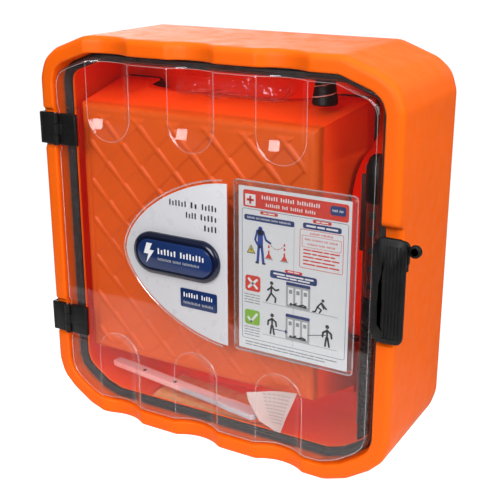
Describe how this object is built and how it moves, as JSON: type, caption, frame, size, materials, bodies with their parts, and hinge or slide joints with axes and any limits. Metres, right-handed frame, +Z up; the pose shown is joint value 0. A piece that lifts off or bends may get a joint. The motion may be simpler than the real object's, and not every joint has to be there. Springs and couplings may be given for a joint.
{
  "type": "electrical rescue kit cabinet",
  "caption": "Orange wall cabinet with a clear hinged door and side latch, holding an insulating stool, bagged insulating gloves and tools, with a card in a door pocket.",
  "frame": {"origin": "on the cabinet's flat underside, at the middle of its width and depth", "axes": "+Z up, +X to the right seen from the front, +Y to the wall; the door faces -Y"},
  "size_m": [0.7607, 0.2916, 0.75],
  "materials": {
    "shell_plastic": "moulded orange, fine satin grain",
    "stool_plastic": "moulded orange, embossed",
    "clear_sheet": "clear thermoformed plastic sheet",
    "clear_film": "thin clear film",
    "black_plastic": "black moulded",
    "black_rubber": "black rubber",
    "label_grey": "satin printed plate",
    "navy_print": "navy, glossy",
    "card_print": "laminated card",
    "steel": "plain zinc plated",
    "rivet_red": "small snap rivets",
    "latex": "natural latex",
    "paper": "folded paper",
    "white_plastic": "white, smooth",
    "pouch_fabric": "dark woven nylon",
    "detector_red": "dark red tube"
  },
  "bodies": {
    "cabinet": {"cabinet_shell": "shell_plastic", "door_gasket": "black_rubber", "hinge_frame_leaf_upper": "black_plastic", "hinge_frame_leaf_lower": "black_plastic", "hinge_pin_upper": "steel", "hinge_pin_lower": "steel", "latch_catch": "black_plastic", "stool_body": "stool_plastic", "stool_foot_upper_left": "black_rubber", "stool_foot_upper_right": "black_rubber", "stool_foot_lower_left": "black_rubber", "stool_foot_lower_right": "black_rubber", "glove_left": "latex", "glove_right": "latex", "glove_bag": "clear_film", "leaflet": "paper", "splint_strip": "white_plastic", "equipment_pouch": "pouch_fabric", "detector_tube": "detector_red", "detector_cap": "black_plastic", "detector_handle": "black_plastic", "accessory_bag": "clear_film", "earthing_clamp": "black_plastic"},
    "door": {"door_panel": "clear_sheet", "label_plate": "label_grey", "badge_body": "navy_print", "badge_face": "navy_print", "voltage_tag": "navy_print", "card_pocket": "clear_film", "pocket_rivet_1": "rivet_red", "pocket_rivet_2": "rivet_red", "pocket_rivet_3": "rivet_red", "pocket_rivet_4": "rivet_red", "hinge_door_leaf_upper": "black_plastic", "hinge_door_leaf_lower": "black_plastic", "hinge_nut_1": "steel", "hinge_nut_2": "steel", "hinge_nut_3": "steel", "hinge_nut_4": "steel", "latch_bracket": "black_plastic", "latch_pin": "steel", "latch_rivet_1": "steel", "latch_rivet_2": "steel", "latch_rivet_3": "steel"},
    "latch_lever": {"latch_lever": "black_plastic"},
    "instruction_card": {"instruction_card": "card_print"}
  },
  "joints": [
    {"name": "door_hinge", "type": "hinge", "parent": "cabinet", "child": "door", "pos_m": [-0.324, -0.142, 0.375], "axis": [0, 0, -1], "range_deg": [0, 135]},
    {"name": "latch_hinge", "type": "hinge", "parent": "door", "child": "latch_lever", "pos_m": [0.3255, -0.143, 0.3845], "axis": [0, 0, -1], "range_deg": [0, 100]},
    {"name": "card_slide", "type": "slide", "parent": "door", "child": "instruction_card", "axis": [0, 0, 1], "range_m": [0, 0.31]}
  ]
}
